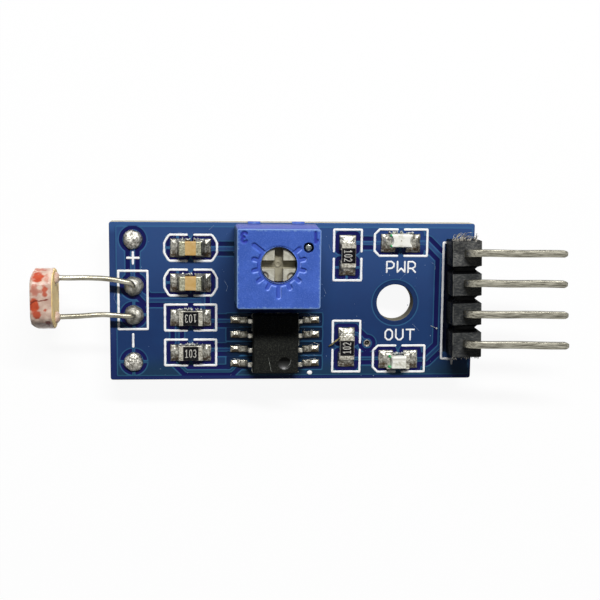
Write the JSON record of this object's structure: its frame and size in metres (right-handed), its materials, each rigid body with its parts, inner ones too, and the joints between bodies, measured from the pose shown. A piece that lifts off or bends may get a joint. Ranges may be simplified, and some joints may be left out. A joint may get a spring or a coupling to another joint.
{
  "type": "light sensor module",
  "caption": "Small blue circuit board with a photoresistor on bent leads at one end, a blue trimmer and comparator in the middle, and right-angle header pins at the other.",
  "frame": {"origin": "centre of the mounting hole on the board's underside", "axes": "+X along the board towards the header pins, +Y along the width away from the comparator, +Z out of the component side"},
  "size_m": [0.0452, 0.0139, 0.0077],
  "materials": {
    "solder_mask": "blue solder mask over copper on glass-fibre laminate, glossy, with white legend",
    "solder": "bright, slightly rough solder",
    "tinned_metal": "tinned metal, satin",
    "ceramic": "matte white alumina",
    "resistor_coat": "black glass overcoat with plain white value numbers",
    "photoresistor_ceramic": "tan ceramic",
    "sensor_track": "orange light-sensitive layer",
    "electrode_metal": "evaporated metal",
    "clear_coat": "clear to pinkish resin coat with orange stains, glossy",
    "capacitor_ceramic": "tan capacitor ceramic",
    "light_laminate": "pale green laminate",
    "light_die": "semiconductor die",
    "light_lens": "milky resin",
    "moulding_black": "black moulding compound, fine matte grain",
    "trimmer_blue": "blue moulded thermoplastic, satin",
    "rotor_cream": "cream moulded plastic",
    "wiper_metal": "spring alloy",
    "cermet": "printed resistive ink",
    "seal_rubber": "soft seal ring",
    "potting": "cast resin",
    "bright_metal": "polished metal",
    "header_black": "black glass-filled plastic, cut ends"
  },
  "bodies": {
    "module": {"circuit_board": "solder_mask", "plus_pad_solder": "solder", "minus_pad_solder": "solder", "photoresistor_disc": "photoresistor_ceramic", "photoresistor_track": "sensor_track", "photoresistor_electrodes": "electrode_metal", "photoresistor_coat": "clear_coat", "photoresistor_lead_upper": "tinned_metal", "photoresistor_lead_lower": "tinned_metal", "photoresistor_solder": "solder", "capacitor_1_body": "capacitor_ceramic", "capacitor_1_terminals": "tinned_metal", "capacitor_2_body": "capacitor_ceramic", "capacitor_2_terminals": "tinned_metal", "capacitor_solder": "solder", "resistor_1_substrate": "ceramic", "resistor_1_overcoat": "resistor_coat", "resistor_1_terminals": "tinned_metal", "resistor_2_substrate": "ceramic", "resistor_2_overcoat": "resistor_coat", "resistor_2_terminals": "tinned_metal", "resistor_3_substrate": "ceramic", "resistor_3_overcoat": "resistor_coat", "resistor_3_terminals": "tinned_metal", "resistor_4_substrate": "ceramic", "resistor_4_overcoat": "resistor_coat", "resistor_4_terminals": "tinned_metal", "resistor_solder": "solder", "power_light_base": "light_laminate", "power_light_die": "light_die", "power_light_lens": "light_lens", "power_light_terminals": "tinned_metal", "output_light_base": "light_laminate", "output_light_die": "light_die", "output_light_lens": "light_lens", "output_light_terminals": "tinned_metal", "light_solder": "solder", "comparator_body": "moulding_black", "comparator_leads": "tinned_metal", "comparator_solder": "solder", "trimmer_housing": "trimmer_blue", "trimmer_element": "ceramic", "trimmer_track": "cermet", "trimmer_seal": "seal_rubber", "trimmer_potting": "potting", "trimmer_stud": "bright_metal", "trimmer_pin_1": "tinned_metal", "trimmer_pin_2": "tinned_metal", "trimmer_pin_3": "tinned_metal", "trimmer_solder": "solder", "header_strip": "header_black", "header_pin_1": "tinned_metal", "header_pin_2": "tinned_metal", "header_pin_3": "tinned_metal", "header_pin_4": "tinned_metal", "header_solder": "solder"},
    "rotor": {"trimmer_rotor": "rotor_cream", "trimmer_wiper": "wiper_metal"}
  },
  "joints": [
    {"name": "trimmer_turn", "type": "hinge", "parent": "module", "child": "rotor", "pos_m": [-0.0105, 0.00379, 0.0062], "axis": [0, 0, 1], "range_deg": [-130, 130]}
  ]
}
